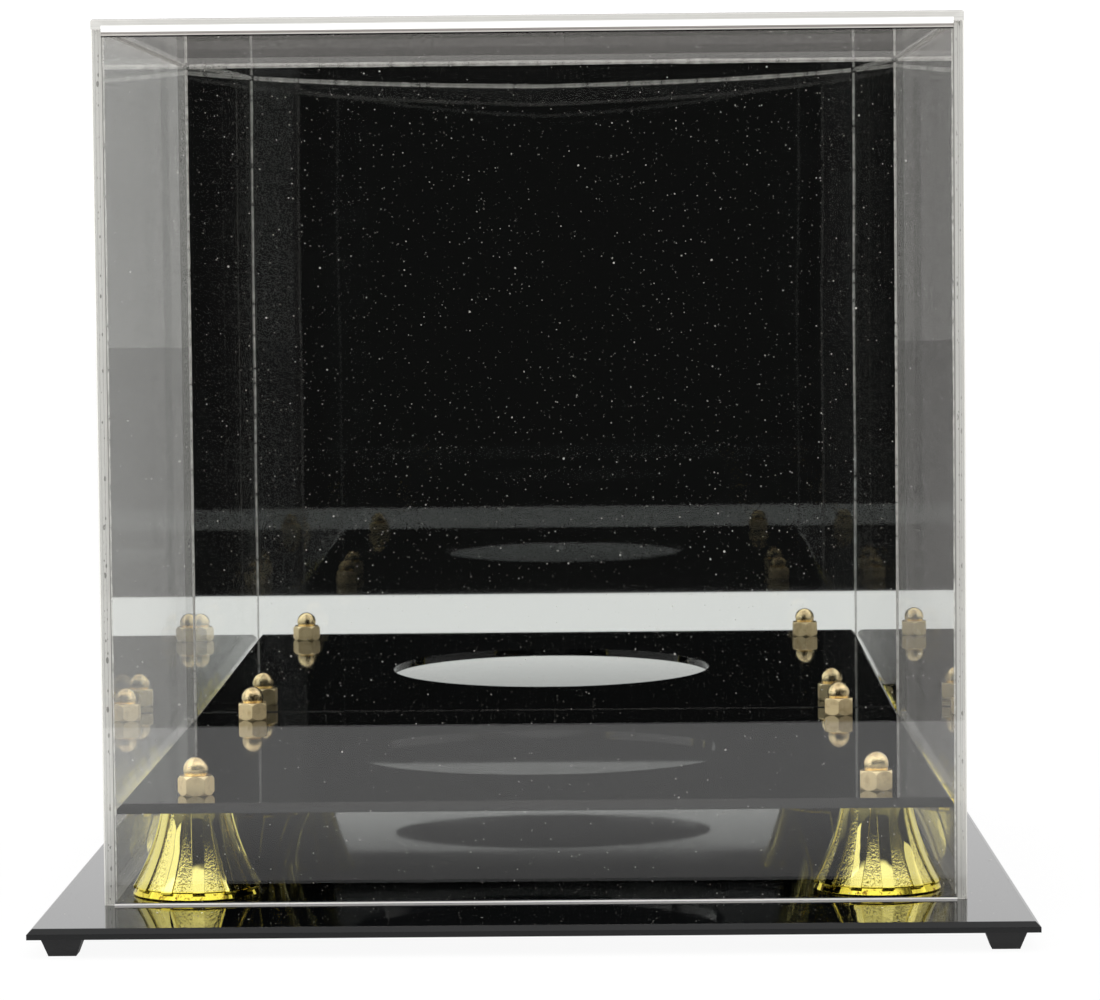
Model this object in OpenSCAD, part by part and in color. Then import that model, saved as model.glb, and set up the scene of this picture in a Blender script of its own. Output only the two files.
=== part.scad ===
// Tabletop display case for one ball.
// A bevelled base plate on four rubber feet carries a bored platform on four ribbed
// risers. Long screws run up through base, riser and platform into acorn nuts.
// A five-sided cover, clear on four sides and mirrored at the back, lifts straight off.
// Millimetres, +Z up, front towards -Y. The origin is the centre of the base plate's
// outline, level with the soles of the feet.

/* [Cover] */
// Outside width and depth of the cover
cover_w = 266.7; // [262:0.1:274]
// Height of the cover, top panel included
cover_h = 273; // [260:1:290]
// Thickness of the acrylic sheet
sheet_t = 3.175; // [2:0.025:4]
// Gap under the cover, where it stands on the base plate
rest_gap = 0.05; // [0.02:0.01:0.3]
// Thickness of the cement film in each glued seam
seam_t = 0.05; // [0.03:0.01:0.2]
// Radius of the eased outer edges
edge_r = 0.8; // [0.2:0.1:1.5]

/* [Base] */
// Width of the base plate, left to right
base_w = 303; // [290:1:320]
// Depth of the base plate, with a wider ledge in front of the cover
base_d = 330; // [315:1:350]
// Thickness of the base plate
base_t = 3.2; // [2.5:0.1:5]
// Leg of the bevel round the top of the base plate
base_bevel = 1.6; // [0.5:0.1:2]

/* [Feet] */
// Width of a foot where it is stuck to the base plate
foot_top_w = 12.7; // [10:0.1:16]
// Width of a foot at its sole
foot_sole_w = 8.4; // [6:0.1:10]
// Height of a foot
foot_h = 5.8; // [5.2:0.1:8]
// Distance from the edge of the base plate to the centre of a foot
foot_inset = 10; // [8.5:0.5:20]

/* [Platform] */
// Gap all round between the platform and the cover's walls
platform_gap = 0.7; // [0.4:0.1:2]
// Thickness of the platform
platform_t = 3; // [2.5:0.1:5]
// Leg of the bevel round the top of the platform
platform_bevel = 1.5; // [0.5:0.1:2]
// Diameter of the hole that the ball sits in
seat_d = 127; // [100:1:140]

/* [Risers] */
// Distance between riser centres, both ways
riser_pitch = 214; // [205:1:216]
// Height of a riser
riser_h = 28; // [24:0.5:34]
// Radius over the ribs at the top
riser_top_r = 11; // [10:0.1:13]
// Radius over the ribs at the bottom
riser_bottom_r = 20.2; // [18:0.1:21]
// Radius of the hollow curve from top to bottom
flare_r = 70.8; // [60:0.1:120]
// Number of ribs, counted as pairs across the riser
rib_pairs = 6; // [4:1:7]
// Width of a rib
rib_w = 3.8; // [2.5:0.1:4]
// How far a rib stands out from the panels between the ribs
rib_raise = 0.5; // [0.3:0.1:1]
// Turn of each riser about its own axis
riser_turn = [6.5, 7, 21, 12]; // [0:1:30]
// Wall of the moulding
riser_wall = 1.9; // [1.5:0.1:2.5]

/* [Fasteners] */
// Diameter of the screw
screw_d = 6; // [4:0.5:6]
// Diameter of the screw's head
head_d = 12; // [9:0.5:13]
// Height of the screw's head
head_h = 4; // [3:0.1:4.5]
// Width across the flats of an acorn nut
nut_af = 10; // [8.5:0.1:11]
// Height of the nut's hexagon
nut_hex_h = 6.2; // [5:0.1:7]
// Height of the whole nut
nut_h = 12; // [11.5:0.1:14]
// Radius of the nut's dome
dome_r = 4; // [3.7:0.1:4.4]
// Turn of each nut about its own axis
nut_turn = [3, 28, 33, 27]; // [0:1:60]

/* [Hidden] */
$fn = 96;
eps = 1;

// Corners in the order front left, front right, rear left, rear right
corner_names = ["front_left", "front_right", "rear_left", "rear_right"];
corner_signs = [[-1, -1], [1, -1], [-1, 1], [1, 1]];

// Levels, counted up from the soles of the feet
base_top_z = foot_h + base_t;
platform_z = base_top_z + riser_h;
platform_top_z = platform_z + platform_t;
wall_h = cover_h - sheet_t - seam_t - rest_gap;

// The same margin is left beside and behind the cover, and the rest lies in front
side_margin = (base_w - cover_w) / 2;
cover_y = base_d / 2 - side_margin - cover_w / 2;
inner_w = cover_w - 2 * sheet_t;
platform_w = inner_w - 2 * platform_gap;

// Riser: the flare is an arc through the bottom and top rib radii
rim_h = 2.7;
rib_foot_z = 2.05;
rim_step = 1.1;
rim_flare = 1.15;
rim_edge = 0.4;
riser_roof_t = 2.4;
boss_wall = 2;
chord = [riser_top_r - riser_bottom_r, riser_h - rim_h];
chord_len = norm(chord);
chord_mid = [(riser_top_r + riser_bottom_r) / 2, (riser_h + rim_h) / 2];
arc_drop = sqrt(flare_r * flare_r - chord_len * chord_len / 4);
flare_centre = chord_mid + arc_drop * [chord[1], -chord[0]] / chord_len;

// Screw, its holes and the nut
screw_r = screw_d / 2;
plate_hole_r = screw_r + 0.25;
riser_hole_r = screw_r + 0.3;
boss_r = riser_hole_r + boss_wall;
nut_hole_r = screw_r + 0.05;
nut_hole_depth = 9;
screw_len = base_t + riser_h + platform_t + nut_hole_depth - 1;
head_dome_r = 9;
recess_w = 1.3;
recess_l = 6;
recess_depth = 2.2;
nut_corner_r = nut_af / 2 / cos(30);
nut_chamfer = 1.1;

black_acrylic = "#101214";
clear_acrylic = [0.86, 0.92, 0.9, 0.25];
mirror_acrylic = "#8e969b";
gold_plating = "#e6cc3c";
pale_brass = "#d8be7e";
black_rubber = "#161616";

// Outline of a plate seen from its edge, with its two upper corners cut off
module bevel_profile(w, t, bevel) {
    polygon([
        [-w / 2, 0],
        [w / 2, 0],
        [w / 2, t - bevel],
        [w / 2 - bevel, t],
        [-w / 2 + bevel, t],
        [-w / 2, t - bevel]
    ]);
}

// Rectangle with its two upper corners rounded
module eased_profile(w, h, r) {
    translate([-w / 2, 0]) square([w, h - r]);
    translate([-w / 2 + r, 0]) square([w - 2 * r, h]);
    for (side = [-1, 1])
        translate([side * (w / 2 - r), h - r]) circle(r);
}

// Outline drawn in X and Z, drawn out along Y
module along_y(d) {
    rotate([90, 0, 0]) linear_extrude(d, center = true) children();
}

// Outline drawn in Y and Z, drawn out along X
module along_x(w) {
    rotate([90, 0, 90]) linear_extrude(w, center = true) children();
}

module bevelled_plate(w, d, t, bevel) {
    intersection() {
        along_y(d) bevel_profile(w, t, bevel);
        along_x(w) bevel_profile(d, t, bevel);
    }
}

// Places its children at a riser's centre, at height z
module at_riser(k, z) {
    translate([
        corner_signs[k][0] * riser_pitch / 2,
        cover_y + corner_signs[k][1] * riser_pitch / 2,
        z
    ]) children();
}

// The four screw holes of a plate that starts at height z
module screw_holes(z, t) {
    for (k = [0:3])
        at_riser(k, z - eps) cylinder(h = t + 2 * eps, r = plate_hole_r);
}

module base_plate() {
    color(black_acrylic)
    difference() {
        translate([0, 0, foot_h]) bevelled_plate(base_w, base_d, base_t, base_bevel);
        screw_holes(foot_h, base_t);
    }
}

module platform() {
    color(black_acrylic)
    difference() {
        translate([0, cover_y, platform_z])
            bevelled_plate(platform_w, platform_w, platform_t, platform_bevel);
        translate([0, cover_y, platform_z - eps])
            cylinder(h = platform_t + 2 * eps, r = seat_d / 2, $fn = 240);
        screw_holes(platform_z, platform_t);
    }
}

// Side view of a foot, which narrows downwards
module foot_profile() {
    polygon([
        [-foot_sole_w / 2, 0],
        [foot_sole_w / 2, 0],
        [foot_top_w / 2, foot_h],
        [-foot_top_w / 2, foot_h]
    ]);
}

module foot(k) {
    color(black_rubber)
    translate([
        corner_signs[k][0] * (base_w / 2 - foot_inset),
        corner_signs[k][1] * (base_d / 2 - foot_inset),
        0
    ])
    intersection() {
        along_y(foot_top_w) foot_profile();
        along_x(foot_top_w) foot_profile();
    }
}

// Half section of the riser between two heights, set in from the ribs' surface
module riser_section(inner_r, outer_r, low_z, high_z, inset) {
    difference() {
        translate([inner_r, low_z]) square([outer_r - inner_r, high_z - low_z]);
        translate(flare_centre) circle(flare_r + inset, $fn = 360);
    }
}

// Body of revolution under the panels between the ribs, on a rim that widens downwards
module riser_core() {
    rim_top_r = riser_bottom_r - rim_step;
    rim_foot_r = rim_top_r + rim_flare;
    rotate_extrude()
        riser_section(0, riser_bottom_r - rib_raise, rim_h, riser_h, rib_raise);
    rotate_extrude()
        polygon([
            [0, 0],
            [rim_foot_r - rim_edge, 0],
            [rim_foot_r, rim_edge],
            [rim_top_r, rim_h],
            [0, rim_h]
        ]);
}

module riser_ribs() {
    intersection() {
        rotate_extrude() riser_section(0, riser_bottom_r, rib_foot_z, riser_h, 0);
        for (pair = [0:rib_pairs - 1])
            rotate(pair * 180 / rib_pairs)
                cube([rib_w, 2 * riser_bottom_r + eps, 2 * riser_h + eps], center = true);
    }
}

// Hollow of the moulding, open at the bottom, round the boss for the screw
module riser_hollow() {
    rotate_extrude()
        riser_section(
            boss_r, riser_bottom_r - rim_step - riser_wall,
            -eps, riser_h - riser_roof_t,
            rib_raise + riser_wall
        );
}

module riser(k) {
    color(gold_plating)
    at_riser(k, base_top_z)
    rotate(riser_turn[k])
    difference() {
        union() {
            riser_core();
            riser_ribs();
        }
        riser_hollow();
        translate([0, 0, -eps]) cylinder(h = riser_h + 2 * eps, r = riser_hole_r);
    }
}

// Round-headed machine screw with a cross recess, standing on its head
module screw(k) {
    color(pale_brass)
    at_riser(k, foot_h)
    difference() {
        union() {
            cylinder(h = screw_len, r = screw_r);
            intersection() {
                translate([0, 0, -head_h]) cylinder(h = head_h, r = head_d / 2);
                translate([0, 0, head_dome_r - head_h]) sphere(head_dome_r);
            }
        }
        for (turn = [0, 90])
            translate([0, 0, recess_depth / 2 - head_h - eps / 2])
                rotate(turn) cube([recess_l, recess_w, recess_depth + eps], center = true);
    }
}

// Hexagon with its corners turned off at both ends
module nut_hexagon() {
    intersection() {
        cylinder(h = nut_hex_h, r = nut_corner_r, $fn = 6);
        rotate_extrude()
            polygon([
                [0, 0],
                [nut_af / 2, 0],
                [nut_corner_r, nut_chamfer],
                [nut_corner_r, nut_hex_h - nut_chamfer],
                [nut_af / 2, nut_hex_h],
                [0, nut_hex_h]
            ]);
    }
}

module acorn_nut(k) {
    color(pale_brass)
    at_riser(k, platform_top_z)
    rotate(nut_turn[k])
    difference() {
        union() {
            nut_hexagon();
            translate([0, 0, nut_h - dome_r]) sphere(dome_r);
        }
        translate([0, 0, -eps]) cylinder(h = nut_hole_depth + eps, r = nut_hole_r);
    }
}

// Places its children at the centre of the cover, level with its lower edge
module in_cover() {
    translate([0, cover_y, base_top_z + rest_gap]) children();
}

// Full-width wall with eased outer corners, whose outside faces +Y
module cross_wall() {
    translate([0, inner_w / 2, 0])
        linear_extrude(wall_h) eased_profile(cover_w, sheet_t, edge_r);
}

module front_panel() {
    color(clear_acrylic) in_cover() mirror([0, 1, 0]) cross_wall();
}

module mirror_panel() {
    color(mirror_acrylic) in_cover() cross_wall();
}

// Side wall, glued between the front and the mirror
module side_panel(side) {
    length = inner_w - 2 * seam_t;
    color(clear_acrylic)
    in_cover()
    translate([side * (inner_w + sheet_t) / 2, 0, wall_h / 2])
        cube([sheet_t, length, wall_h], center = true);
}

module left_panel() {
    side_panel(-1);
}

module right_panel() {
    side_panel(1);
}

module top_panel() {
    color(clear_acrylic)
    in_cover()
    translate([0, 0, wall_h + seam_t])
    intersection() {
        along_y(cover_w) eased_profile(cover_w, sheet_t, edge_r);
        along_x(cover_w) eased_profile(cover_w, sheet_t, edge_r);
    }
}

base_plate();
platform();
for (k = [0:3]) {
    foot(k);
    riser(k);
    screw(k);
    acorn_nut(k);
}
front_panel();
left_panel();
right_panel();
top_panel();
mirror_panel();
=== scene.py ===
import math
import random

import bmesh
import bpy
from mathutils import Matrix, Vector


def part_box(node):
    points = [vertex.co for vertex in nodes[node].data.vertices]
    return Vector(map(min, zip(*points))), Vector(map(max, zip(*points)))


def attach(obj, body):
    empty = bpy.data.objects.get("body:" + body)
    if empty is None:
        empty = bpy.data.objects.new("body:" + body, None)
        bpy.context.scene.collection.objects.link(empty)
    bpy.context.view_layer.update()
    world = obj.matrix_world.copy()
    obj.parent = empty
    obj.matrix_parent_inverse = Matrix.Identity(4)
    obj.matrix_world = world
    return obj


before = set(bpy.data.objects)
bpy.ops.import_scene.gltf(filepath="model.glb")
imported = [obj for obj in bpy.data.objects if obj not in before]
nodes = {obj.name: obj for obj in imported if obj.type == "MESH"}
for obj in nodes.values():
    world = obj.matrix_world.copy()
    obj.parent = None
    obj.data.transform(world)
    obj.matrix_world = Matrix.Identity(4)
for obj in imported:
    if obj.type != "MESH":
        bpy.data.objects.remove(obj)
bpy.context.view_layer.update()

# Tabletop display case for one ball: black plates on plated risers, under a glued clear
# cover with a mirror back. The CAD nodes take their finishes here, and beads of cement,
# a camera, a table, a sky and softboxes are added.

mm = 0.001
acrylicIor = 1.49
cornerNames = ["front_left", "front_right", "rear_left", "rear_right"]
print("loaded", len(nodes), "CAD nodes")

# Settings that many nodes share
add = {"operation": "ADD"}
subtract = {"operation": "SUBTRACT"}
multiply = {"operation": "MULTIPLY"}
multiplyAdd = {"operation": "MULTIPLY_ADD"}
divide = {"operation": "DIVIDE"}
power = {"operation": "POWER"}
absolute = {"operation": "ABSOLUTE"}
maximum = {"operation": "MAXIMUM"}
lessThan = {"operation": "LESS_THAN"}
greaterThan = {"operation": "GREATER_THAN"}
colourMix = {"data_type": "RGBA"}  # takes inputs 0, 6 and 7 and gives output 2
smoothStep = {"interpolation_type": "SMOOTHSTEP"}


def hexToLinear(hexColour, alpha=1.0):
    channels = [int(hexColour[i:i + 2], 16) / 255 for i in (1, 3, 5)]
    linear = [c / 12.92 if c <= 0.04045 else ((c + 0.055) / 1.055) ** 2.4 for c in channels]
    return (*linear, alpha)


# Adds a node, sets it up, and gives back the output socket that is asked for
def addNode(tree, kind, settings, inputs, output=0):
    node = tree.nodes.new("ShaderNode" + kind)
    for name, value in settings.items():
        setattr(node, name, value)
    for socket, value in inputs.items():
        if isinstance(value, bpy.types.NodeSocket):
            tree.links.new(value, node.inputs[socket])
        else:
            node.inputs[socket].default_value = value
    return node.outputs[output] if node.outputs else node


def startMaterial(name):
    material = bpy.data.materials.new(name)
    material.use_nodes = True
    material.node_tree.nodes.clear()
    return material, material.node_tree


# The two coordinates that lie in a sheet's own plane, shifted from face to face
def inPlane(tree, place, thicknessAxis):
    parts = addNode(tree, "SeparateXYZ", {}, {0: place}).node.outputs
    across = [axis for axis in range(3) if axis != thicknessAxis]
    side = addNode(tree, "Math", {"operation": "SNAP"}, {0: parts[thicknessAxis], 1: 1.6 * mm})
    shift = addNode(tree, "Math", multiply, {0: side, 1: 37.0})
    moved = addNode(tree, "Math", add, {0: parts[across[0]], 1: shift})
    return addNode(tree, "CombineXYZ", {}, {0: moved, 1: parts[across[1]]})


# Round specks scattered over a plane, spacing and radius in mm: 1 on a speck, 0 elsewhere
def speckMask(tree, plane, spacing, radius, share, seed):
    moved = addNode(tree, "Mapping", {}, {"Vector": plane, "Location": (seed * 0.137, seed * 0.071, 0)})
    cells = addNode(tree, "TexVoronoi", {"feature": "F1", "voronoi_dimensions": "2D"},
                    {"Vector": moved, "Scale": 1000 / spacing, "Randomness": 1.0}).node
    lot = addNode(tree, "SeparateXYZ", {}, {0: cells.outputs["Color"]}).node.outputs
    kept = addNode(tree, "Math", lessThan, {0: lot[0], 1: share})
    spread = addNode(tree, "Math", power, {0: lot[1], 1: 3.0})  # mostly small, a few large
    size = addNode(tree, "Math", multiplyAdd,
                   {0: spread, 1: 0.65 * radius / spacing, 2: 0.35 * radius / spacing})
    inside = addNode(tree, "Math", lessThan, {0: cells.outputs["Distance"], 1: size})
    return addNode(tree, "Math", multiply, {0: kept, 1: inside})


# Several sizes of dust together: each layer is spacing mm, largest radius mm, share of cells
def dustMask(tree, plane, layers, seed):
    mask = None
    for number, (spacing, radius, share) in enumerate(layers):
        layer = speckMask(tree, plane, spacing, radius, share, seed + 7 * number)
        mask = layer if mask is None else addNode(tree, "Math", maximum, {0: mask, 1: layer})
    return mask


# Share of light that a face of clear sheet mirrors, alike from both of its sides
def sheetReflection(tree):
    outside = addNode(tree, "Fresnel", {}, {"IOR": acrylicIor})
    inside = addNode(tree, "Fresnel", {}, {"IOR": 1 / acrylicIor})
    backing = addNode(tree, "NewGeometry", {}, {}, "Backfacing")
    return addNode(tree, "Mix", {"data_type": "FLOAT"}, {0: backing, 2: outside, 3: inside})


# Base plate and platform
blackPlate = {
    "colour": "#060708",
    "dustColour": "#b9b6ae",
    "roughness": 0.025,
    "smearRoughness": 0.035,  # added where a hand has smeared it
    "smearSize": 35.7,  # mm
    "dust": [(4.5, 0.20, 0.35), (14.0, 0.36, 0.35)],
    "dustRoughness": 0.8,
    "hairlineSpacing": 3.2,  # mm
    "hairlineWidth": 0.0022,  # as a share of the noise's range
    "hairlineTurn": 0.5,  # radians
    "hairlineRoughness": 0.22,
    "edgeRound": 0.25,  # mm
    "waveSize": 111,  # mm
    "waveHeight": 1.5,  # mm
}


# Fine straight marks from wiping: thin where a stretched noise crosses a level, in patches
def hairlineMask(tree, place):
    p = blackPlate
    turned = addNode(tree, "Mapping", {},
                     {"Vector": place, "Location": (0.93, 0.51, 0.15),
                      "Rotation": (0, 0, p["hairlineTurn"]), "Scale": (1.0, 0.05, 1.0)})
    noise = addNode(tree, "TexNoise", {},
                    {"Vector": turned, "Scale": 1000 / p["hairlineSpacing"], "Detail": 1.0})
    centred = addNode(tree, "Math", subtract, {0: noise, 1: 0.5})
    off = addNode(tree, "Math", absolute, {0: centred})
    line = addNode(tree, "Math", lessThan, {0: off, 1: p["hairlineWidth"]})
    patch = addNode(tree, "TexNoise", {},
                    {"Vector": place, "Scale": 1000 / (p["hairlineSpacing"] * 9), "Detail": 0.0})
    here = addNode(tree, "Math", greaterThan, {0: patch, 1: 0.56})
    return addNode(tree, "Math", multiply, {0: line, 1: here})


# Cast acrylic dyed black and flame polished: deep black with sharp reflections that
# waver slightly, fine dust and a few hairlines
def polishedBlackAcrylic():
    p = blackPlate
    material, tree = startMaterial("polishedBlackAcrylic")
    texture = addNode(tree, "TexCoord", {}, {}).node
    place = texture.outputs["Object"]
    facing = addNode(tree, "SeparateXYZ", {}, {0: texture.outputs["Normal"]}).node.outputs
    level = addNode(tree, "Math", greaterThan, {0: facing[2], 1: 0.9})
    specks = dustMask(tree, inPlane(tree, place, 2), p["dust"], 1)
    dust = addNode(tree, "Math", multiply, {0: specks, 1: level})
    smears = addNode(tree, "TexNoise", {}, {"Vector": place, "Scale": 1000 / p["smearSize"], "Detail": 3.0})
    gloss = addNode(tree, "MapRange", {},
                    {"Value": smears, "From Min": 0.35, "From Max": 0.75,
                     "To Min": p["roughness"], "To Max": p["roughness"] + p["smearRoughness"]})
    matt = addNode(tree, "Math", multiply, {0: dust, 1: p["dustRoughness"]})
    scratched = addNode(tree, "Math", multiply, {0: hairlineMask(tree, place), 1: p["hairlineRoughness"]})
    dusty = addNode(tree, "Math", maximum, {0: gloss, 1: matt})
    roughness = addNode(tree, "Math", maximum, {0: dusty, 1: scratched})
    colour = addNode(tree, "Mix", colourMix,
                     {0: dust, 6: hexToLinear(p["colour"]), 7: hexToLinear(p["dustColour"])}, 2)
    wave = addNode(tree, "TexNoise", {}, {"Vector": place, "Scale": 1000 / p["waveSize"], "Detail": 0.0})
    eased = addNode(tree, "Bevel", {"samples": 4}, {"Radius": p["edgeRound"] * mm})
    normal = addNode(tree, "Bump", {},
                     {"Strength": 0.05, "Distance": p["waveHeight"] * mm, "Height": wave, "Normal": eased})
    surface = addNode(tree, "BsdfPrincipled", {},
                      {"Base Color": colour, "Roughness": roughness, "IOR": acrylicIor, "Normal": normal})
    addNode(tree, "OutputMaterial", {}, {"Surface": surface})
    return material


# The cover's four clear panels
clearSheet = {
    # Transparent tint of each sheet; the right and top sheets are darker as painted shade
    "tintWithPaintedShade": {
        "front_panel": "#fdfdfc",
        "left_panel": "#fbfbfa",
        "right_panel": "#eeedec",
        "top_panel": "#e6e3e1",
    },
    # Painted light on the pale cut edges
    "edgePaintedLight": "#dddcd6",
    "endDimPaintedLight": "#cccbc9",  # painted light on the glued ends of the side walls, dimmer than on the other edges
    "bubbleColour": "#5f5f5c",
    "edgeLine": "#9f9e9c",
    "edgeInside": "#fbfbfa",
    "edgeCover": 0.85,
    "edgeRoughness": 0.12,
    "edgeRipple": 22.2,  # mm
    "topEdgePaintedDim": "#b0aeaa",  # painted dimmer tone of the top sheet's edge, above its bright line
    "topEdgePaintedBright": "#ffffff",
    "brightLineShare": 0.36,  # share of the top sheet's edge that the painted bright line takes up
    "bubbles": [(1.7, 0.50, 0.45), (0.8, 0.16, 0.4)],
    # Bands of painted light and shade that stand for the cement seam under the top sheet: mm below the wall's
    # top, colour, cover
    "topSeamPaintedBands": [(0.0, "#ffffff", 0.95), (0.65, "#ffffff", 0.95), (0.85, "#a8a49f", 0.75),
                    (1.40, "#7d7874", 0.65), (1.55, "#c4bfba", 0.80), (1.85, "#c4bfba", 0.75),
                    (1.95, "#0a0a0b", 0.85), (2.35, "#0a0a0b", 0.80), (2.50, "#6f6a67", 0.0)],
    # Painted bright line of the polished lower edge, with a painted dark line above it: mm above the foot of
    # the wall, colour, cover
    "footPaintedBands": [(0.0, "#ffffff", 1.0), (0.50, "#fffaf4", 0.97), (0.62, "#17181a", 0.75),
                  (0.80, "#5c6064", 0.50), (0.95, "#5c6064", 0.0)],
    "dustColour": "#e4e2dc",
    "dustCover": 0.6,
    "dust": {
        "front_panel": [(4.5, 0.20, 0.35), (15.0, 0.34, 0.35)],
        "left_panel": [(3.5, 0.18, 0.5), (12.0, 0.34, 0.4)],
        "right_panel": [(3.5, 0.18, 0.5), (12.0, 0.34, 0.4)],
        "top_panel": [(2.6, 0.16, 0.5), (11.0, 0.32, 0.4)],
    },
}
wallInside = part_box("right_panel")[0][0]


# Face of a clear sheet: it lets light through, mirrors a little, and holds lit specks of dust
def dustyPane(tree, node, plane, seed):
    p = clearSheet
    dustColour = hexToLinear(p["dustColour"])
    clear = addNode(tree, "BsdfTransparent", {}, {"Color": hexToLinear(p["tintWithPaintedShade"][node])})
    mirrored = addNode(tree, "BsdfGlossy", {}, {"Color": (1, 1, 1, 1), "Roughness": 0.0})
    pane = addNode(tree, "MixShader", {}, {0: sheetReflection(tree), 1: clear, 2: mirrored})
    lit = addNode(tree, "BsdfDiffuse", {}, {"Color": dustColour})
    litThrough = addNode(tree, "BsdfTranslucent", {}, {"Color": dustColour})
    speck = addNode(tree, "MixShader", {}, {0: 0.5, 1: lit, 2: litThrough})
    dust = dustMask(tree, plane, p["dust"][node], seed)
    share = addNode(tree, "Math", multiply, {0: dust, 1: p["dustCover"]})
    return addNode(tree, "MixShader", {}, {0: share, 1: pane, 2: speck})


# Lays bands of colour over a face, by the distance from its upper or lower end
def bandOver(tree, surface, bands, distance, shown):
    reach = bands[-1][0]
    along = addNode(tree, "Math", divide, {0: distance, 1: reach * mm})
    ramp = addNode(tree, "ValToRGB", {}, {0: along}).node
    stops = ramp.color_ramp.elements
    for number, (height, colour, cover) in enumerate(bands):
        stop = stops[number] if number < 2 else stops.new(height / reach)
        stop.position = height / reach
        stop.color = hexToLinear(colour, cover)
    band = addNode(tree, "BsdfDiffuse", {}, {"Color": ramp.outputs["Color"]})
    share = addNode(tree, "Math", multiply, {0: ramp.outputs["Alpha"], 1: shown})
    return addNode(tree, "MixShader", {}, {0: share, 1: surface, 2: band})


# The top sheet's edge is painted bright only in its lower part, and dimmer above
def topEdgePaintedLine(tree, colour, across, betweenWalls):
    p = clearSheet
    brightPart = addNode(tree, "MapRange", {},
                  {"Value": across, "From Min": p["brightLineShare"] + 0.05, "From Max": p["brightLineShare"] - 0.02})
    upper = addNode(tree, "Mix", colourMix, {0: 0.55, 6: colour, 7: hexToLinear(p["topEdgePaintedDim"])}, 2)
    share = addNode(tree, "Math", multiply, {0: brightPart, 1: betweenWalls})
    return addNode(tree, "Mix", colourMix, {0: share, 6: upper, 7: hexToLinear(p["topEdgePaintedBright"])}, 2)


# The side walls' glued ends hold bubbles near their middle and a dark line at their inner side
def bubbledWallEnd(tree, colour, place, depth, innerSide, seed):
    p = clearSheet
    tall = addNode(tree, "Mapping", {}, {"Vector": inPlane(tree, place, 1), "Scale": (1.0, 0.45, 1.0)})
    bubbles = dustMask(tree, tall, p["bubbles"], seed + 3)
    fromMiddle = addNode(tree, "Math", subtract, {0: depth, 1: 0.5})
    offCentre = addNode(tree, "Math", absolute, {0: fromMiddle})
    nearMiddle = addNode(tree, "MapRange", smoothStep,
                         {"Value": offCentre, "From Min": 0.30, "From Max": 0.10})
    fromInner = addNode(tree, "Math", subtract, {0: depth, 1: innerSide})
    offInner = addNode(tree, "Math", absolute, {0: fromInner})
    inner = addNode(tree, "Math", lessThan, {0: offInner, 1: 0.10})
    innerDark = addNode(tree, "Math", multiply, {0: inner, 1: 0.8})
    held = addNode(tree, "Math", multiply, {0: bubbles, 1: nearMiddle})
    bubbleDark = addNode(tree, "Math", multiply, {0: held, 1: 0.75})
    dark = addNode(tree, "Math", maximum, {0: innerDark, 1: bubbleDark})
    return addNode(tree, "Mix", colourMix, {0: dark, 6: colour, 7: hexToLinear(p["bubbleColour"])}, 2)
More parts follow.
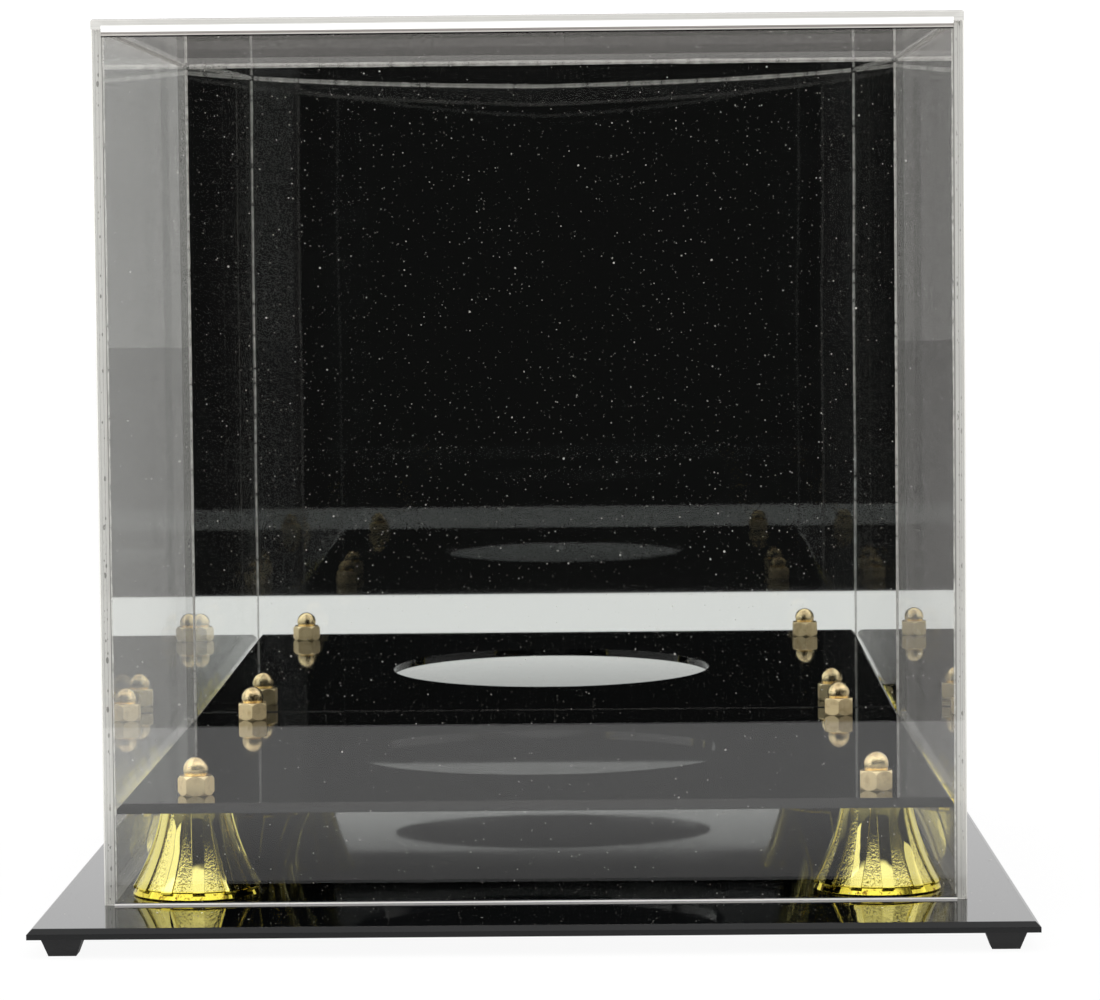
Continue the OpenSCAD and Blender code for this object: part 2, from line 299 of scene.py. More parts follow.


# Clear cast acrylic, laser cut and edge polished: faces only show their reflections and
# dust, while the free cut edges are painted pale for the light they gather
def clearAcrylicSheet(node, thicknessAxis, seed):
    p = clearSheet
    material, tree = startMaterial("clearAcrylicSheet_" + node)
    low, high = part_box(node)
    texture = addNode(tree, "TexCoord", {}, {}).node
    place = texture.outputs["Object"]
    where = addNode(tree, "SeparateXYZ", {}, {0: place}).node.outputs
    facing = addNode(tree, "SeparateXYZ", {}, {0: texture.outputs["Normal"]}).node.outputs
    backing = addNode(tree, "NewGeometry", {}, {}, "Backfacing")
    outside = addNode(tree, "Math", subtract, {0: 1.0, 1: backing})
    aside = addNode(tree, "Math", absolute, {0: where[0]})
    betweenWalls = addNode(tree, "Math", lessThan, {0: aside, 1: wallInside})

    pane = dustyPane(tree, node, inPlane(tree, place, thicknessAxis), seed)
    if node == "front_panel":  # painted light and shade on its outer face stand for its glued upper end and polished foot
        forward = addNode(tree, "Math", lessThan, {0: facing[1], 1: -0.9})
        outerFace = addNode(tree, "Math", multiply, {0: forward, 1: outside})
        shown = addNode(tree, "Math", multiply, {0: outerFace, 1: betweenWalls})
        fromTop = addNode(tree, "Math", subtract, {0: high[2], 1: where[2]})
        fromFoot = addNode(tree, "Math", subtract, {0: where[2], 1: low[2]})
        pane = bandOver(tree, pane, p["topSeamPaintedBands"], fromTop, shown)
        pane = bandOver(tree, pane, p["footPaintedBands"], fromFoot, shown)

    # Cut edge: painted pale for the light it gathers, with fine lines that run along it
    depth = addNode(tree, "MapRange", {},
                    {"Value": where[thicknessAxis],
                     "From Min": low[thicknessAxis], "From Max": high[thicknessAxis]})
    ripple = addNode(tree, "TexNoise", {}, {"Vector": place, "Scale": 1000 / p["edgeRipple"], "Detail": 1.0})
    across = addNode(tree, "Math", multiplyAdd, {0: ripple, 1: 0.05, 2: depth})
    track = addNode(tree, "Math", multiplyAdd, {0: across, 1: 7.0, 2: seed})
    streaks = addNode(tree, "TexNoise", {"noise_dimensions": "1D"}, {"W": track, "Scale": 1.6, "Detail": 2.0})
    tone = addNode(tree, "MapRange", {}, {"Value": streaks, "From Min": 0.30, "From Max": 0.52})
    pale = p["endDimPaintedLight"] if thicknessAxis == 0 else p["edgePaintedLight"]
    colour = addNode(tree, "Mix", colourMix,
                     {0: tone, 6: hexToLinear(p["edgeLine"]), 7: hexToLinear(pale)}, 2)
    if node == "top_panel":
        colour = topEdgePaintedLine(tree, colour, across, betweenWalls)
    if thicknessAxis == 0:
        colour = bubbledWallEnd(tree, colour, place, depth, 1.0 if low[0] < 0 else 0.0, seed)
    rim = addNode(tree, "BsdfPrincipled", {},
                  {"Base Color": colour, "Roughness": p["edgeRoughness"], "IOR": acrylicIor})

    # Glued edges can't be seen from inside the sheet, a free lower edge can
    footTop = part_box("front_panel")[0][2] + 0.5 * mm
    free = addNode(tree, "Math", lessThan, {0: where[2], 1: footTop})
    shown = addNode(tree, "Math", maximum, {0: outside, 1: free})
    cover = addNode(tree, "Math", multiply, {0: shown, 1: p["edgeCover"]})
    through = addNode(tree, "BsdfTransparent", {}, {"Color": hexToLinear(p["edgeInside"])})
    edge = addNode(tree, "MixShader", {}, {0: cover, 1: through, 2: rim})

    square = addNode(tree, "Math", absolute, {0: facing[thicknessAxis]})
    onFace = addNode(tree, "Math", greaterThan, {0: square, 1: 0.9})
    surface = addNode(tree, "MixShader", {}, {0: onFace, 1: edge, 2: pane})
    addNode(tree, "OutputMaterial", {}, {"Surface": surface})
    return material


# The cover's back panel
mirrorSheet = {
    "silver": "#e3e6e6",
    "silverRoughness": 0.015,
    "coat": 0.6,
    "paint": "#7b7f82",
    "thinPaint": "#606467",
    "paintMottle": 1.11,  # mm
    "sprayPass": 71.4,  # mm
    # Painted light on the pale cut edge
    "edge": "#cdd3d0",
    "edgeDark": "#3d4244",
    "lean": 0.094,  # radians of lean for each metre of height below the upright line
    "uprightAt": 0.181,  # height where the sheet is upright, metres
    "cornerLean": -0.0175,  # radians at the two glued upper corners
    "cornerReach": 0.070,  # metres
    "sideTurn": -0.006,  # radians at the left edge
    "wobbleSize": 111,  # mm
    "wobble": 0.004,  # radians
    "gluedTint": "#b0b0ae",
    "dustColour": "#c9c7c1",
    "dustCover": 0.28,
    "dust": [(4.2, 0.19, 0.35), (14.0, 0.32, 0.35)],
}


# Normal of the thin sheet where the glue and its own weight bow it
def bowedNormal(tree, place, where, low, high):
    p = mirrorSheet
    above = addNode(tree, "Math", subtract, {0: where[2], 1: p["uprightAt"]})
    below = addNode(tree, "Math", {"operation": "MINIMUM"}, {0: above, 1: 0.0})
    aside = addNode(tree, "Math", absolute, {0: where[0]})
    fromSide = addNode(tree, "Math", subtract, {0: high[0], 1: aside})
    sideFall = addNode(tree, "Math", divide, {0: fromSide, 1: -p["cornerReach"]})
    fade = addNode(tree, "Math", power, {0: math.e, 1: sideFall})
    height = addNode(tree, "MapRange", smoothStep,
                     {"Value": where[2], "From Min": p["uprightAt"], "From Max": high[2]})
    nearCorner = addNode(tree, "Math", multiply, {0: fade, 1: height})
    corner = addNode(tree, "Math", multiply, {0: nearCorner, 1: p["cornerLean"]})
    lean = addNode(tree, "Math", multiplyAdd, {0: below, 1: p["lean"], 2: corner})

    wobble = addNode(tree, "TexNoise", {}, {"Vector": place, "Scale": 1000 / p["wobbleSize"], "Detail": 1.0})
    centred = addNode(tree, "Math", subtract, {0: wobble, 1: 0.5})
    sway = addNode(tree, "Math", multiply, {0: centred, 1: p["wobble"]})
    fromLeft = addNode(tree, "Math", subtract, {0: where[0], 1: low[0]})
    leftFall = addNode(tree, "Math", divide, {0: fromLeft, 1: -p["cornerReach"]})
    leftFade = addNode(tree, "Math", power, {0: math.e, 1: leftFall})
    turn = addNode(tree, "Math", multiplyAdd, {0: leftFade, 1: p["sideTurn"], 2: sway})

    push = addNode(tree, "CombineXYZ", {}, {0: turn, 2: lean})
    straight = addNode(tree, "NewGeometry", {}, {}, "Normal")
    bowed = addNode(tree, "VectorMath", add, {0: straight, 1: push})
    return addNode(tree, "VectorMath", {"operation": "NORMALIZE"}, {0: bowed})


# Paint on the mirror's back, mottled by the spray and thinner between its passes
def sprayedPaint(tree, place):
    p = mirrorSheet
    mottle = addNode(tree, "TexNoise", {}, {"Vector": place, "Scale": 1000 / p["paintMottle"], "Detail": 2.0})
    passes = addNode(tree, "TexNoise", {},
                     {"Vector": place, "Scale": 1000 / p["sprayPass"], "Detail": 3.0, "Roughness": 0.6})
    fine = addNode(tree, "Math", multiplyAdd, {0: mottle, 1: 0.5, 2: -0.15})
    share = addNode(tree, "Math", multiplyAdd, {0: passes, 1: 0.8, 2: fine})
    colour = addNode(tree, "Mix", colourMix,
                     {0: share, 6: hexToLinear(p["thinPaint"]), 7: hexToLinear(p["paint"])}, 2)
    orangePeel = addNode(tree, "Bump", {}, {"Strength": 0.25, "Distance": 0.2 * mm, "Height": mottle})
    return addNode(tree, "BsdfPrincipled", {},
                   {"Base Color": colour, "Roughness": 0.55, "Normal": orangePeel})


# Mirror acrylic, aluminised and painted on the back: a clear reflection a little greyer
# than glass, which bends where the thin sheet bows, with dust on its face
def mirrorAcrylicSheet():
    p = mirrorSheet
    material, tree = startMaterial("mirrorAcrylicSheet")
    low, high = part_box("mirror_panel")
    texture = addNode(tree, "TexCoord", {}, {}).node
    place = texture.outputs["Object"]
    where = addNode(tree, "SeparateXYZ", {}, {0: place}).node.outputs
    facing = addNode(tree, "SeparateXYZ", {}, {0: texture.outputs["Normal"]}).node.outputs
    front = addNode(tree, "Math", lessThan, {0: facing[1], 1: -0.9})
    back = addNode(tree, "Math", greaterThan, {0: facing[1], 1: 0.9})

    normal = bowedNormal(tree, place, where, low, high)
    silver = addNode(tree, "BsdfPrincipled", {},
                     {"Base Color": hexToLinear(p["silver"]), "Metallic": 1.0,
                      "Roughness": p["silverRoughness"], "Normal": normal,
                      "Coat Weight": p["coat"], "Coat Roughness": 0.0, "Coat IOR": acrylicIor,
                      "Coat Normal": normal})
    speck = addNode(tree, "BsdfDiffuse", {}, {"Color": hexToLinear(p["dustColour"])})
    dust = dustMask(tree, inPlane(tree, place, 1), p["dust"], 5)
    dustShare = addNode(tree, "Math", multiply, {0: dust, 1: p["dustCover"]})
    dusty = addNode(tree, "MixShader", {}, {0: dustShare, 1: silver, 2: speck})

    # Cut edge painted pale for the light it gathers, with the dark line of the coating at its rear
    depth = addNode(tree, "MapRange", {}, {"Value": where[1], "From Min": low[1], "From Max": high[1]})
    coated = addNode(tree, "Math", greaterThan, {0: depth, 1: 0.90})
    edgePaintedLight = addNode(tree, "Mix", colourMix,
                         {0: coated, 6: hexToLinear(p["edge"]), 7: hexToLinear(p["edgeDark"])}, 2)
    edge = addNode(tree, "BsdfPrincipled", {},
                   {"Base Color": edgePaintedLight, "Roughness": 0.15, "IOR": acrylicIor})
    sides = addNode(tree, "MixShader", {}, {0: back, 1: edge, 2: sprayedPaint(tree, place)})
    solid = addNode(tree, "MixShader", {}, {0: front, 1: sides, 2: dusty})

    # The margins glued to the side walls let light out at the corner, as does all seen
    # from inside the sheet
    backing = addNode(tree, "NewGeometry", {}, {}, "Backfacing")
    aside = addNode(tree, "Math", absolute, {0: where[0]})
    beyond = addNode(tree, "Math", greaterThan, {0: aside, 1: wallInside})
    glued = addNode(tree, "Math", multiply, {0: front, 1: beyond})
    margin = addNode(tree, "BsdfTransparent", {}, {"Color": hexToLinear(p["gluedTint"])})
    inside = addNode(tree, "BsdfTransparent", {}, {"Color": (1, 1, 1, 1)})
    fromFront = addNode(tree, "MixShader", {}, {0: glued, 1: solid, 2: margin})
    surface = addNode(tree, "MixShader", {}, {0: backing, 1: fromFront, 2: inside})
    addNode(tree, "OutputMaterial", {}, {"Surface": surface})
    return material


# Risers under the platform
riserFinish = {
    "gold": "#f3e78c",
    "twiceLitPaintedGold": "#fbe85a",  # painted deeper gold, where light has met the gold twice
    "worn": "#a07a2c",
    "wornRoughness": 0.35,
    "wornPatch": 2.38,  # mm
    "ribRoughness": 0.05,
    "stippleRoughness": 0.13,
    "stippleGrain": 0.40,  # mm across one grain, about twice the real one, which would not show
    "stippleDepth": 0.165,  # mm
    # painted shade in the stipple's pits
    "stipplePitPaintedShade": "#ab9a45",
    "ribCount": 12,
    "ribWidth": 3.8,  # mm
    "turns": {"front_left": 6.5, "front_right": 7, "rear_left": 21, "rear_right": 12},  # degrees
    "rimHeight": 2.7,  # mm
    "edgeRound": 0.22,  # mm
    "flowSize": 7.14,  # mm between the slow waves that moulding leaves
    "flowHeight": 0.6,  # mm
}


# 1 on the stippled panels between the ribs, 0 on the ribs and the rim
def stippledMask(tree, x, y, z, turn):
    p = riserFinish
    step = 2 * math.pi / p["ribCount"]
    bearing = addNode(tree, "Math", {"operation": "ARCTAN2"}, {0: y, 1: x})
    angle = addNode(tree, "Math", subtract, {0: bearing, 1: math.radians(turn)})
    steps = addNode(tree, "Math", divide, {0: angle, 1: step})
    positive = addNode(tree, "Math", add, {0: steps, 1: 20.5})
    part = addNode(tree, "Math", {"operation": "FRACT"}, {0: positive})
    inStep = addNode(tree, "Math", subtract, {0: part, 1: 0.5})
    flat = addNode(tree, "CombineXYZ", {}, {0: x, 1: y})
    radius = addNode(tree, "VectorMath", {"operation": "LENGTH"}, {0: flat}, 1)
    fromRib = addNode(tree, "Math", multiply, {0: inStep, 1: step})
    sine = addNode(tree, "Math", {"operation": "SINE"}, {0: fromRib})
    sideways = addNode(tree, "Math", multiply, {0: radius, 1: sine})
    across = addNode(tree, "Math", absolute, {0: sideways})
    panel = addNode(tree, "MapRange", {},
                    {"Value": across, "From Min": (p["ribWidth"] / 2 + 0.05) * mm,
                     "From Max": (p["ribWidth"] / 2 + 0.25) * mm})
    aboveRim = addNode(tree, "MapRange", {},
                       {"Value": z, "From Min": (p["rimHeight"] + 0.1) * mm,
                        "From Max": (p["rimHeight"] + 0.4) * mm})
    return addNode(tree, "Math", multiply, {0: panel, 1: aboveRim})


# Gold-plated plastic moulding: mirror-bright lemon gold on the ribs and the rim, with a
# fine etched sparkle on the panels between the ribs
def goldPlatedMoulding(corner):
    p = riserFinish
    material, tree = startMaterial("goldPlatedMoulding_" + corner)
    low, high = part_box("riser_" + corner)
    centre = ((low[0] + high[0]) / 2, (low[1] + high[1]) / 2, low[2])
    place = addNode(tree, "TexCoord", {}, {}, "Object")
    local = addNode(tree, "VectorMath", subtract, {0: place, 1: centre})
    x, y, z = addNode(tree, "SeparateXYZ", {}, {0: local}).node.outputs[:3]
    stippled = stippledMask(tree, x, y, z, p["turns"][corner])
    grain = addNode(tree, "TexNoise", {},
                    {"Vector": place, "Scale": 1000 / p["stippleGrain"] / 2, "Detail": 2.0, "Roughness": 0.6})

    # Plating: painted deeper near the foot for light met twice, painted shade in the stipple's pits, worn in
    # patches on the rim
    paintedBounceNearFoot = addNode(tree, "MapRange", {}, {"Value": z, "From Min": 3.4 * mm, "From Max": 2.6 * mm})
    platingWithPaintedBounce = addNode(tree, "Mix", colourMix,
                      {0: paintedBounceNearFoot, 6: hexToLinear(p["gold"]), 7: hexToLinear(p["twiceLitPaintedGold"])}, 2)
    # Painted shade in the stipple's pits
    pits = addNode(tree, "MapRange", {}, {"Value": grain, "From Min": 0.47, "From Max": 0.38, "To Max": 0.55})
    pitShadeShare = addNode(tree, "Math", multiply, {0: pits, 1: stippled})
    shaded = addNode(tree, "Mix", colourMix, {0: pitShadeShare, 6: platingWithPaintedBounce, 7: hexToLinear(p["stipplePitPaintedShade"])}, 2)
    blotch = addNode(tree, "TexNoise", {},
                     {"Vector": place, "Scale": 1000 / p["wornPatch"], "Detail": 3.0, "Roughness": 0.7})
    patch = addNode(tree, "MapRange", {}, {"Value": blotch, "From Min": 0.56, "From Max": 0.64})
    nearRim = addNode(tree, "MapRange", {}, {"Value": z, "From Min": 3.2 * mm, "From Max": 1.2 * mm})
    tarnish = addNode(tree, "Math", multiply, {0: nearRim, 1: patch})
    colour = addNode(tree, "Mix", colourMix, {0: tarnish, 6: shaded, 7: hexToLinear(p["worn"])}, 2)

    bright = addNode(tree, "Mix", {"data_type": "FLOAT"},
                     {0: stippled, 2: p["ribRoughness"], 3: p["stippleRoughness"]})
    dull = addNode(tree, "Math", multiply, {0: tarnish, 1: p["wornRoughness"]})
    roughness = addNode(tree, "Math", maximum, {0: bright, 1: dull})
    flow = addNode(tree, "TexNoise", {}, {"Vector": place, "Scale": 1000 / p["flowSize"], "Detail": 1.0})
    eased = addNode(tree, "Bevel", {"samples": 4}, {"Radius": p["edgeRound"] * mm})
    soft = addNode(tree, "Bump", {},
                   {"Strength": 0.25, "Distance": p["flowHeight"] * mm, "Height": flow, "Normal": eased})
    etched = addNode(tree, "Bump", {},
                     {"Strength": stippled, "Distance": p["stippleDepth"] * mm, "Height": grain,
                      "Normal": soft})
    surface = addNode(tree, "BsdfPrincipled", {},
                      {"Base Color": colour, "Metallic": 1.0, "Roughness": roughness, "Normal": etched})
    addNode(tree, "OutputMaterial", {}, {"Surface": surface})
    return material


# Acorn nuts and screws
fastener = {
    "brass": "#fbe6b6",
    "stain": "#d9bf8c",
    "stainSize": 3.03,  # mm
    "domeRoughness": 0.10,
    "hexRoughness": 0.38,
    "hexMetallic": 0.58,  # tumbling leaves the hexagon's faces frosted, so they scatter light
    "hexHeight": 6.0,  # mm above the platform
    "grain": 0.16,  # mm between turning marks
    "grainDepth": 0.14,  # mm
    "edgeRound": 0.2,  # mm
}


# Pale plated brass, turned and tumbled: soft bright highlights over a fine tool grain
def tumbledPaleBrass():
    p = fastener
    material, tree = startMaterial("tumbledPaleBrass")
    place = addNode(tree, "TexCoord", {}, {}, "Object")
    stretched = addNode(tree, "Mapping", {}, {"Vector": place, "Scale": (1.0, 1.0, 3.0)})
    tool = addNode(tree, "TexNoise", {},
                   {"Vector": stretched, "Scale": 1000 / p["grain"] / 4, "Detail": 3.0, "Roughness": 0.7})
    patch = addNode(tree, "TexNoise", {}, {"Vector": place, "Scale": 1000 / p["stainSize"], "Detail": 3.0})
    share = addNode(tree, "MapRange", {}, {"Value": patch, "From Min": 0.50, "From Max": 0.80})
    colour = addNode(tree, "Mix", colourMix,
                     {0: share, 6: hexToLinear(p["brass"]), 7: hexToLinear(p["stain"])}, 2)
    height = addNode(tree, "SeparateXYZ", {}, {0: place}, 2)
    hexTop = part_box("platform")[1][2] + p["hexHeight"] * mm
    hexagon = addNode(tree, "MapRange", {},
                      {"Value": height, "From Min": hexTop + 0.4 * mm, "From Max": hexTop - 0.4 * mm})
    base = addNode(tree, "MapRange", {},
                   {"Value": hexagon, "To Min": p["domeRoughness"], "To Max": p["hexRoughness"]})
    roughness = addNode(tree, "Math", multiplyAdd, {0: tool, 1: 0.12, 2: base})
    metallic = addNode(tree, "MapRange", {}, {"Value": hexagon, "To Min": 1.0, "To Max": p["hexMetallic"]})
    eased = addNode(tree, "Bevel", {"samples": 4}, {"Radius": p["edgeRound"] * mm})
    normal = addNode(tree, "Bump", {},
                     {"Strength": 0.6, "Distance": p["grainDepth"] * mm, "Height": tool, "Normal": eased})
    surface = addNode(tree, "BsdfPrincipled", {},
                      {"Base Color": colour, "Metallic": metallic, "Roughness": roughness, "Normal": normal})
    addNode(tree, "OutputMaterial", {}, {"Surface": surface})
    return material


# Feet under the base plate
footRubber = {
    "colour": "#131314",
    "rubbedColour": "#242425",
    "rubbedSize": 3.85,  # mm
    "roughness": 0.62,
    "grain": 0.35,  # mm
    "grainDepth": 0.15,  # mm
    "edgeRound": 0.4,  # mm
}


# Moulded rubber: matt, near black, with a fine grain and paler rubbed patches
def mouldedBlackRubber():
    p = footRubber
    material, tree = startMaterial("mouldedBlackRubber")
    place = addNode(tree, "TexCoord", {}, {}, "Object")
    grain = addNode(tree, "TexNoise", {}, {"Vector": place, "Scale": 1000 / p["grain"], "Detail": 3.0})
    rubbed = addNode(tree, "TexNoise", {}, {"Vector": place, "Scale": 1000 / p["rubbedSize"], "Detail": 2.0})
    colour = addNode(tree, "Mix", colourMix,
                     {0: rubbed, 6: hexToLinear(p["colour"]), 7: hexToLinear(p["rubbedColour"])}, 2)
    eased = addNode(tree, "Bevel", {"samples": 4}, {"Radius": p["edgeRound"] * mm})
    normal = addNode(tree, "Bump", {},
                     {"Strength": 0.35, "Distance": p["grainDepth"] * mm, "Height": grain, "Normal": eased})
    surface = addNode(tree, "BsdfPrincipled", {},
                      {"Base Color": colour, "Roughness": p["roughness"], "IOR": 1.52, "Normal": normal})
    addNode(tree, "OutputMaterial", {}, {"Surface": surface})
    return material


def dress(nodeName, material):
    mesh = nodes[nodeName].data
    mesh.materials.clear()
    mesh.materials.append(material)
    for polygon in mesh.polygons:
        polygon.material_index = 0


blackAcrylic = polishedBlackAcrylic()
dress("base_plate", blackAcrylic)
dress("platform", blackAcrylic)
thicknessAxes = {"front_panel": 1, "left_panel": 0, "right_panel": 0, "top_panel": 2}
for number, (node, thicknessAxis) in enumerate(thicknessAxes.items()):
    dress(node, clearAcrylicSheet(node, thicknessAxis, 11 + number))
dress("mirror_panel", mirrorAcrylicSheet())
brass = tumbledPaleBrass()
rubber = mouldedBlackRubber()
for corner in cornerNames:
    dress("riser_" + corner, goldPlatedMoulding(corner))
    dress("screw_" + corner, brass)
    dress("acorn_nut_" + corner, brass)
    dress("foot_" + corner, rubber)
print("dressed the CAD nodes")

# Cement in the cover's inside seams
seam = {
    "uprightReach": 0.45,  # mm that the fillet stands out from the corner, each way
    "topReach": 0.85,
    "inset": 1.2,  # mm that a bead stops short of the next seam
    "ringStep": 5.0,
    "wander": 0.22,  # share by which the fillet swells and thins along the seam
    "arcSteps": 4,
    "standOff": 0.02,  # mm between the fillet and the sheets it wets
    # Painted light: pale colours that give the clear bead its bright line
    "colour": "#e6e5e2",
    "cloudPaintedLight": "#c2c1be",
    "cloudSize": 2.5,  # mm
}


# Cured solvent cement: a clear bead, painted pale so that it shows a bright line of light along the seam
def curedSolventCement():
    p = seam
    material, tree = startMaterial("curedSolventCement")
    place = addNode(tree, "TexCoord", {}, {}, "Object")
    cloud = addNode(tree, "TexNoise", {}, {"Vector": place, "Scale": 1000 / p["cloudSize"], "Detail": 3.0})
    colour = addNode(tree, "Mix", colourMix,
                     {0: cloud, 6: hexToLinear(p["cloudPaintedLight"]), 7: hexToLinear(p["colour"])}, 2)
    bead = addNode(tree, "BsdfPrincipled", {}, {"Base Color": colour, "Roughness": 0.10, "IOR": acrylicIor})
    through = addNode(tree, "BsdfTransparent", {}, {"Color": (1, 1, 1, 1)})
    cover = addNode(tree, "MapRange", {},
                    {"Value": cloud, "From Min": 0.35, "From Max": 0.65, "To Min": 0.35, "To Max": 0.65})
    surface = addNode(tree, "MixShader", {}, {0: cover, 1: through, 2: bead})
    addNode(tree, "OutputMaterial", {}, {"Surface": surface})
    return material


# Hollow-fronted bead from start to end; sideA and sideB point along the two sheets
def makeSeam(name, start, end, sideA, sideB, reachMm, seed):
    p = seam
    lots = random.Random(seed)
    start, end, sideA, sideB = Vector(start), Vector(end), Vector(sideA), Vector(sideB)
    rings = max(2, int((end - start).length / (p["ringStep"] * mm)))
    count = p["arcSteps"] + 2
    points = []
    swell = 1.0
    for ring in range(rings + 1):
        swell += 0.5 * ((1 + lots.uniform(-p["wander"], p["wander"])) - swell)
        reach = reachMm * mm * swell
        base = start.lerp(end, ring / rings) + (sideA + sideB) * p["standOff"] * mm
        points.append(base)
        for step in range(p["arcSteps"] + 1):
            turn = step / p["arcSteps"] * math.pi / 2
            points.append(base + sideA * reach * (1 - math.sin(turn)) + sideB * reach * (1 - math.cos(turn)))
    faces = []
    for ring in range(rings):
        for k in range(count):
            a, b = ring * count + k, ring * count + (k + 1) % count
            faces.append((a, b, b + count, a + count))
    faces.append(tuple(reversed(range(count))))
    faces.append(tuple(rings * count + k for k in range(count)))
    mesh = bpy.data.meshes.new(name)
    mesh.from_pydata(points, [], faces)
    mesh.update()
    work = bmesh.new()
    work.from_mesh(mesh)
    bmesh.ops.recalc_face_normals(work, faces=work.faces)
    work.to_mesh(mesh)
    work.free()
    for polygon in mesh.polygons:
        polygon.use_smooth = len(polygon.vertices) == 4
    mesh.set_sharp_from_angle(angle=math.radians(50))
    mesh.materials.append(cement)
    bead = bpy.data.objects.new(name, mesh)
    bpy.context.scene.collection.objects.link(bead)
    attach(bead, "cover")


cement = curedSolventCement()
left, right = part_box("left_panel")[1][0], wallInside
front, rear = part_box("front_panel")[1][1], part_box("mirror_panel")[0][1]
foot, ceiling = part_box("front_panel")[0][2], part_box("top_panel")[0][2]
inset = seam["inset"] * mm
for number, (sideways, x, dx) in enumerate((("left", left, 1), ("right", right, -1))):
    for lengthways, y, dy in (("front", front, 1), ("rear", rear, -1)):
        makeSeam(f"cementSeam_{lengthways}_{sideways}", (x, y, foot + inset), (x, y, ceiling - inset),
                 (dx, 0, 0), (0, dy, 0), seam["uprightReach"], 30 + number * 4 + dy)
    makeSeam(f"cementSeam_top_{sideways}", (x, front + inset, ceiling), (x, rear - inset, ceiling),
             (dx, 0, 0), (0, 0, -1), seam["topReach"], 50 + number)
for number, (lengthways, y, dy) in enumerate((("front", front, 1), ("rear", rear, -1))):
    makeSeam(f"cementSeam_top_{lengthways}", (left + inset, y, ceiling), (right - inset, y, ceiling),
             (0, dy, 0), (0, 0, -1), seam["topReach"], 60 + number)
print("ran cement along the seams")

camera = {
    "place": (0.0235, -1.4168, 0.2104),
    "yaw": -0.0137,  # radians, as are the next two
    "pitch": 0.0592,  # downwards
    "roll": -0.0099,
    "lens": 138.44,  # mm
}


def setCamera():
    p = camera
    forward = Vector((math.sin(p["yaw"]) * math.cos(p["pitch"]),
                      math.cos(p["yaw"]) * math.cos(p["pitch"]), -math.sin(p["pitch"])))
    level = Vector((math.cos(p["yaw"]), -math.sin(p["yaw"]), 0))
    upright = level.cross(forward)
    right = math.cos(p["roll"]) * level + math.sin(p["roll"]) * upright
    up = -math.sin(p["roll"]) * level + math.cos(p["roll"]) * upright
    data = bpy.data.cameras.new("camera")
    data.sensor_fit = "HORIZONTAL"
    data.sensor_width = 36
    data.lens = p["lens"]
    data.clip_start = 0.05
    data.clip_end = 50
    lens = bpy.data.objects.new("camera", data)
    bpy.context.scene.collection.objects.link(lens)
    turn = Matrix((right, up, -forward)).transposed()
    lens.matrix_world = Matrix.Translation(p["place"]) @ turn.to_4x4()
    bpy.context.scene.camera = lens


# Table and sky, which look different in reflections than they do straight on
studio = {
    "tableHalf": 8.0,  # metres
    "tableColour": "#fbfbfb",
    "tableEdge": -0.688,  # where the table ends in front of the case in reflections, metres
    "tableNear": 0.62,  # how bright the table looks in reflections close to the case
    "tableFar": 1.05,
    "rampStart": -0.42,
    "rampEnd": -0.25,
    "litFromBelow": 0.93,  # the table is a light table, so it shows hardly any shadow
    "backdrop": 1.02,
    "roomDark": 0.006,
    "diffuseSky": 1.18,
    "overhead": 1.5,
    "zenith": 0.28,  # overhead light falls off straight above the case
}


def makeTable():
    p = studio
    half = p["tableHalf"]
    mesh = bpy.data.meshes.new("studioTable")
    mesh.from_pydata([(-half, -half, 0), (half, -half, 0), (half, half, 0), (-half, half, 0)],
                     [], [(0, 1, 2, 3)])
    table = bpy.data.objects.new("studioTable", mesh)
    bpy.context.scene.collection.objects.link(table)
    material, tree = startMaterial("whiteLaminateTable")
    place = addNode(tree, "TexCoord", {}, {}, "Object")
    lengthways = addNode(tree, "SeparateXYZ", {}, {0: place}, 1)
    path = addNode(tree, "LightPath", {}, {}).node
    seen = addNode(tree, "MapRange", {},
                   {"Value": lengthways, "From Min": p["rampStart"], "From Max": p["rampEnd"],
                    "To Min": p["tableFar"], "To Max": p["tableNear"]})
    onTable = addNode(tree, "Math", greaterThan, {0: lengthways, 1: p["tableEdge"]})
    ending = addNode(tree, "Math", multiply, {0: seen, 1: onTable})
    glow = addNode(tree, "Math", maximum, {0: ending, 1: p["roomDark"]})
    mirrored = addNode(tree, "Emission", {}, {"Color": (1, 1, 1, 1), "Strength": glow})
    white = addNode(tree, "BsdfDiffuse", {}, {"Color": hexToLinear(p["tableColour"])})
    lit = addNode(tree, "Emission", {}, {"Color": (1, 1, 1, 1), "Strength": 1.0})
    litShare = addNode(tree, "Math", multiply, {0: path.outputs["Is Camera Ray"], 1: p["litFromBelow"]})
    direct = addNode(tree, "MixShader", {}, {0: litShare, 1: white, 2: lit})
    surface = addNode(tree, "MixShader", {}, {0: path.outputs["Is Glossy Ray"], 1: direct, 2: mirrored})
    addNode(tree, "OutputMaterial", {}, {"Surface": surface})
    mesh.materials.append(material)


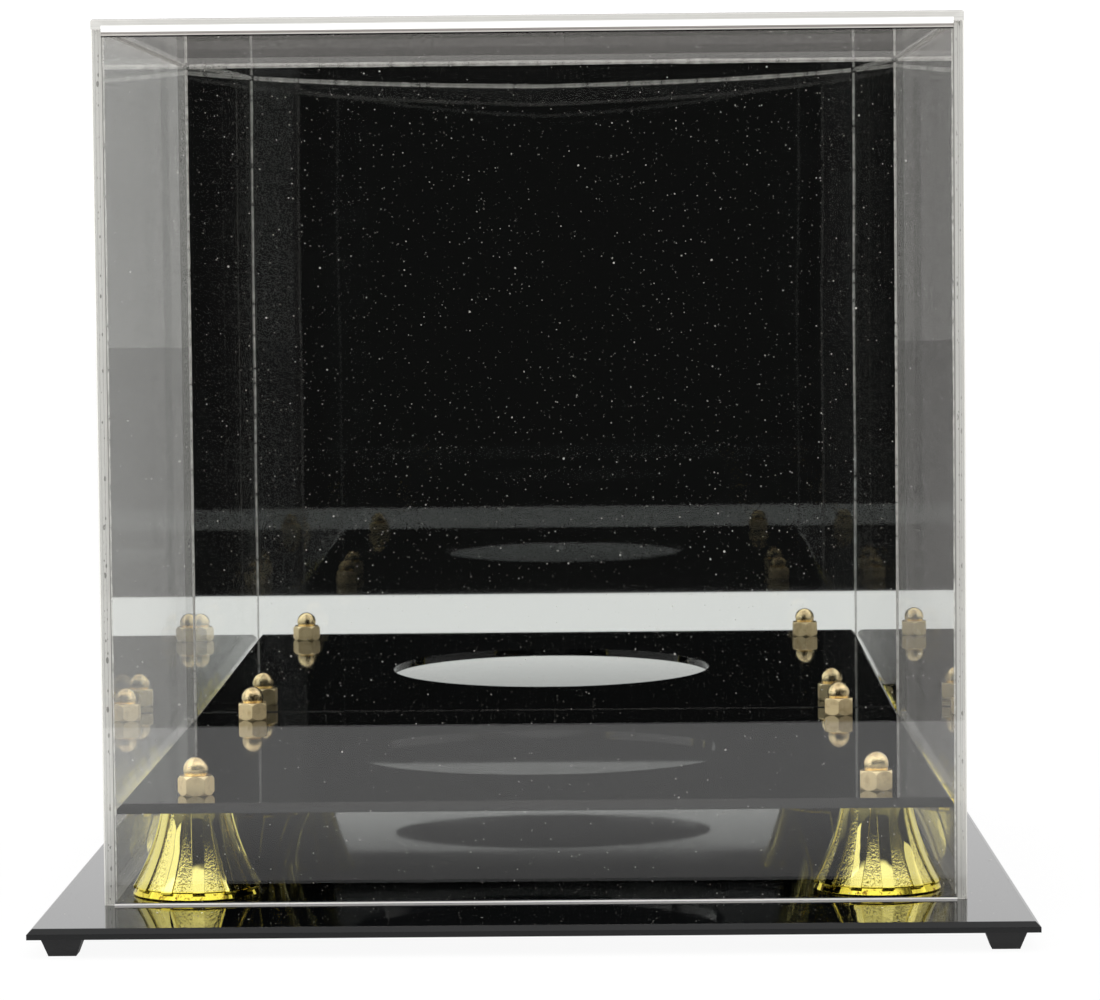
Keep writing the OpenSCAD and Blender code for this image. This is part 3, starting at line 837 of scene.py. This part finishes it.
def makeSky():
    p = studio
    world = bpy.data.worlds.new("studioSky")
    bpy.context.scene.world = world
    world.use_nodes = True
    tree = world.node_tree
    tree.nodes.clear()
    direction = addNode(tree, "TexCoord", {}, {}, "Generated")
    towards = addNode(tree, "SeparateXYZ", {}, {0: direction}).node.outputs
    behind = addNode(tree, "MapRange", smoothStep,
                     {"Value": towards[1], "From Min": -0.05, "From Max": 0.25,
                      "To Min": p["roomDark"], "To Max": p["backdrop"]})
    overhead = addNode(tree, "MapRange", smoothStep,
                       {"Value": towards[2], "From Min": 0.62, "From Max": 0.66,
                        "To Min": 0.0, "To Max": p["overhead"]})
    above = addNode(tree, "MapRange", smoothStep,
                    {"Value": towards[2], "From Min": 0.90, "From Max": 0.98,
                     "To Min": 1.0, "To Max": p["zenith"]})
    overheadGlow = addNode(tree, "Math", multiply, {0: overhead, 1: above})
    glow = addNode(tree, "Math", maximum, {0: behind, 1: overheadGlow})
    mirrored = addNode(tree, "Background", {}, {"Color": (1, 1, 1, 1), "Strength": glow})
    direct = addNode(tree, "Background", {}, {"Color": (1, 1, 1, 1), "Strength": p["diffuseSky"]})
    inReflection = addNode(tree, "LightPath", {}, {}, "Is Glossy Ray")
    surface = addNode(tree, "MixShader", {}, {0: inReflection, 1: direct, 2: mirrored})
    addNode(tree, "OutputWorld", {}, {"Surface": surface})


softboxes = {
    "left": {"place": (-1.35, -0.55, 0.62), "size": (1.3, 1.25), "radiance": 1.35},
    "right": {"place": (1.45, -0.15, 1.0), "size": (0.8, 0.9), "radiance": 1.2},
    "above": {"place": (0.0, -0.30, 1.55), "size": (1.5, 1.0), "radiance": 0.5},
}
softboxAim = Vector((0, 0, 0.12))


def makeSoftboxes():
    for name, p in softboxes.items():
        data = bpy.data.lights.new(name + "Softbox", "AREA")
        data.shape = "RECTANGLE"
        data.size, data.size_y = p["size"]
        data.energy = p["radiance"] * math.pi * data.size * data.size_y
        lamp = bpy.data.objects.new(name + "Softbox", data)
        bpy.context.scene.collection.objects.link(lamp)
        lamp.location = p["place"]
        lamp.rotation_euler = (softboxAim - Vector(p["place"])).to_track_quat("-Z", "Y").to_euler()
        lamp.visible_camera = False


setCamera()
makeTable()
makeSky()
makeSoftboxes()
scene = bpy.context.scene
scene.view_settings.view_transform = "Standard"
scene.cycles.transparent_max_bounces = 24
scene.cycles.glossy_bounces = 8
print("set the camera, table, sky and softboxes")
